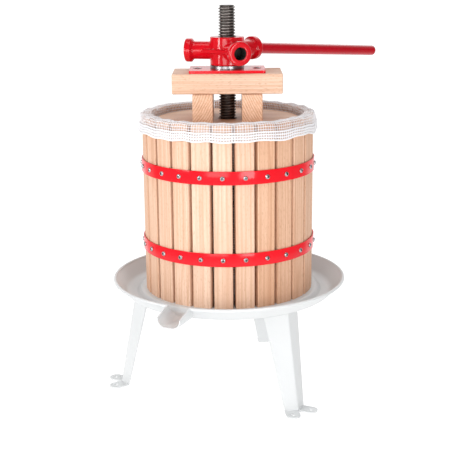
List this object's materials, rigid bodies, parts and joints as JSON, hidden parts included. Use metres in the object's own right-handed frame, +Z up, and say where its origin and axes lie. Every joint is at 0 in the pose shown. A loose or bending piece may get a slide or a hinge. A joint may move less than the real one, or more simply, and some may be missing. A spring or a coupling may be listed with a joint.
{
  "type": "basket wine press",
  "caption": "Free-standing basket press: slatted wooden basket with a mesh bag on a spouted tray with legs, pressed by a hub turned down a threaded spindle.",
  "frame": {"origin": "on the spindle's axis at the floor, the underside of the foot tabs", "axes": "+Z up along the spindle, the spout points to -Y"},
  "size_m": [0.3424, 0.5419, 0.557],
  "materials": {
    "white_enamel": "gloss enamel",
    "beech": "raw sanded beech",
    "red_paint": "gloss paint",
    "red_cast_iron": "gloss paint over a cast surface",
    "red_bar_paint": "satin paint",
    "oiled_steel": "dark oiled steel",
    "zinc_steel": "zinc plate",
    "white_mesh": "woven mesh with a sewn hem"
  },
  "bodies": {
    "stand": {"tray": "white_enamel", "leg_right": "white_enamel", "leg_left": "white_enamel", "leg_back": "white_enamel", "leg_bolts": "zinc_steel", "leg_nuts": "zinc_steel", "spindle": "oiled_steel", "spreader_plate": "zinc_steel", "spindle_lower_nut": "zinc_steel", "spindle_washer": "zinc_steel", "spindle_upper_nut": "zinc_steel"},
    "basket": {"slat_01": "beech", "slat_02": "beech", "slat_03": "beech", "slat_04": "beech", "slat_05": "beech", "slat_06": "beech", "slat_07": "beech", "slat_08": "beech", "slat_09": "beech", "slat_10": "beech", "slat_11": "beech", "slat_12": "beech", "slat_13": "beech", "slat_14": "beech", "slat_15": "beech", "slat_16": "beech", "slat_17": "beech", "slat_18": "beech", "slat_19": "beech", "slat_20": "beech", "slat_21": "beech", "slat_22": "beech", "slat_23": "beech", "slat_24": "beech", "slat_25": "beech", "hoop_top": "red_paint", "hoop_bottom": "red_paint", "hoop_top_screws": "zinc_steel", "hoop_bottom_screws": "zinc_steel", "filter_bag": "white_mesh"},
    "press_stack": {"press_disc_front": "beech", "press_disc_back": "beech", "block_left": "beech", "block_right": "beech", "crossbeam": "beech", "bearing_plate": "red_paint", "plate_screws": "zinc_steel", "thrust_washer": "zinc_steel"},
    "hub": {"hub": "red_cast_iron"},
    "handle": {"handle_bar": "red_bar_paint"}
  },
  "joints": [
    {"name": "basket_lift", "type": "slide", "parent": "stand", "child": "basket", "axis": [0, 0, 1], "range_m": [0, 0.024]},
    {"name": "stack_travel", "type": "slide", "parent": "stand", "child": "press_stack", "axis": [0, 0, 1], "range_m": [-0.044, 0.032]},
    {"name": "hub_spin", "type": "hinge", "parent": "press_stack", "child": "hub", "pos_m": [0, 0, 0.494], "axis": [0, 0, 1], "range_deg": [-3960, 2880]},
    {"name": "bar_pull", "type": "slide", "parent": "hub", "child": "handle", "axis": [0.308, 0.9479, -0.0819], "range_m": [0, 0.05]}
  ],
  "couplings": [
    {"joint": "stack_travel", "follows": "hub_spin", "m_per_rad": 0.00063662}
  ]
}
